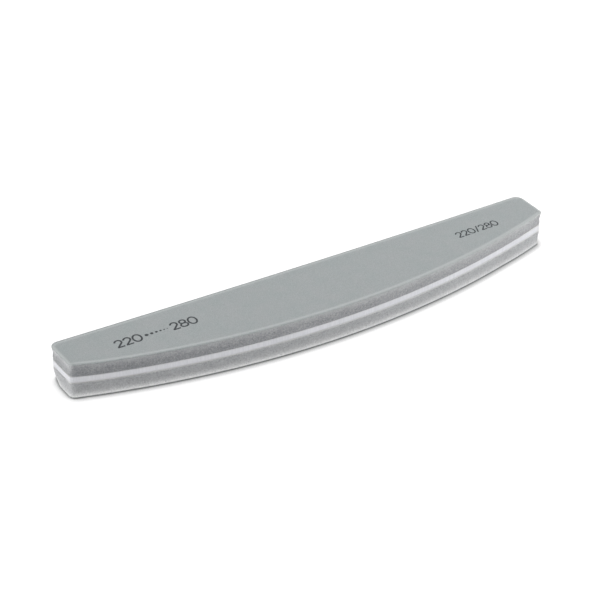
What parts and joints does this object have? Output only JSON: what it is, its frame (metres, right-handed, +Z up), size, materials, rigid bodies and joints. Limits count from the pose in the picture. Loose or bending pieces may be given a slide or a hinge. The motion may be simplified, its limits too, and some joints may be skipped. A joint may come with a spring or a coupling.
{
  "type": "half moon nail buffer",
  "caption": "Flat half moon sponge buffer for shaping and smoothing nails: abrasive faces on soft foam pads, bonded to a stiff white core board.",
  "frame": {"origin": "on the underside, in the middle of the bounding box, where the buffer rests on a table", "axes": "+X along the length, +Y towards the long, slightly hollow back edge, -Y towards the curved edge, +Z up out of the upper abrasive face"},
  "size_m": [0.178, 0.028, 0.012],
  "materials": {
    "abrasive_sheet": "matte",
    "sponge_foam": "matte",
    "core_board": "matte",
    "adhesive_film": "satin",
    "printed_ink": "matte"
  },
  "bodies": {
    "root": {"lower_abrasive_sheet": "abrasive_sheet", "lower_sheet_adhesive": "adhesive_film", "lower_foam_pad": "sponge_foam", "lower_core_tape": "adhesive_film", "core_board": "core_board", "upper_core_tape": "adhesive_film", "upper_foam_pad": "sponge_foam", "upper_sheet_adhesive": "adhesive_film", "upper_abrasive_sheet": "abrasive_sheet"}
  },
  "joints": []
}
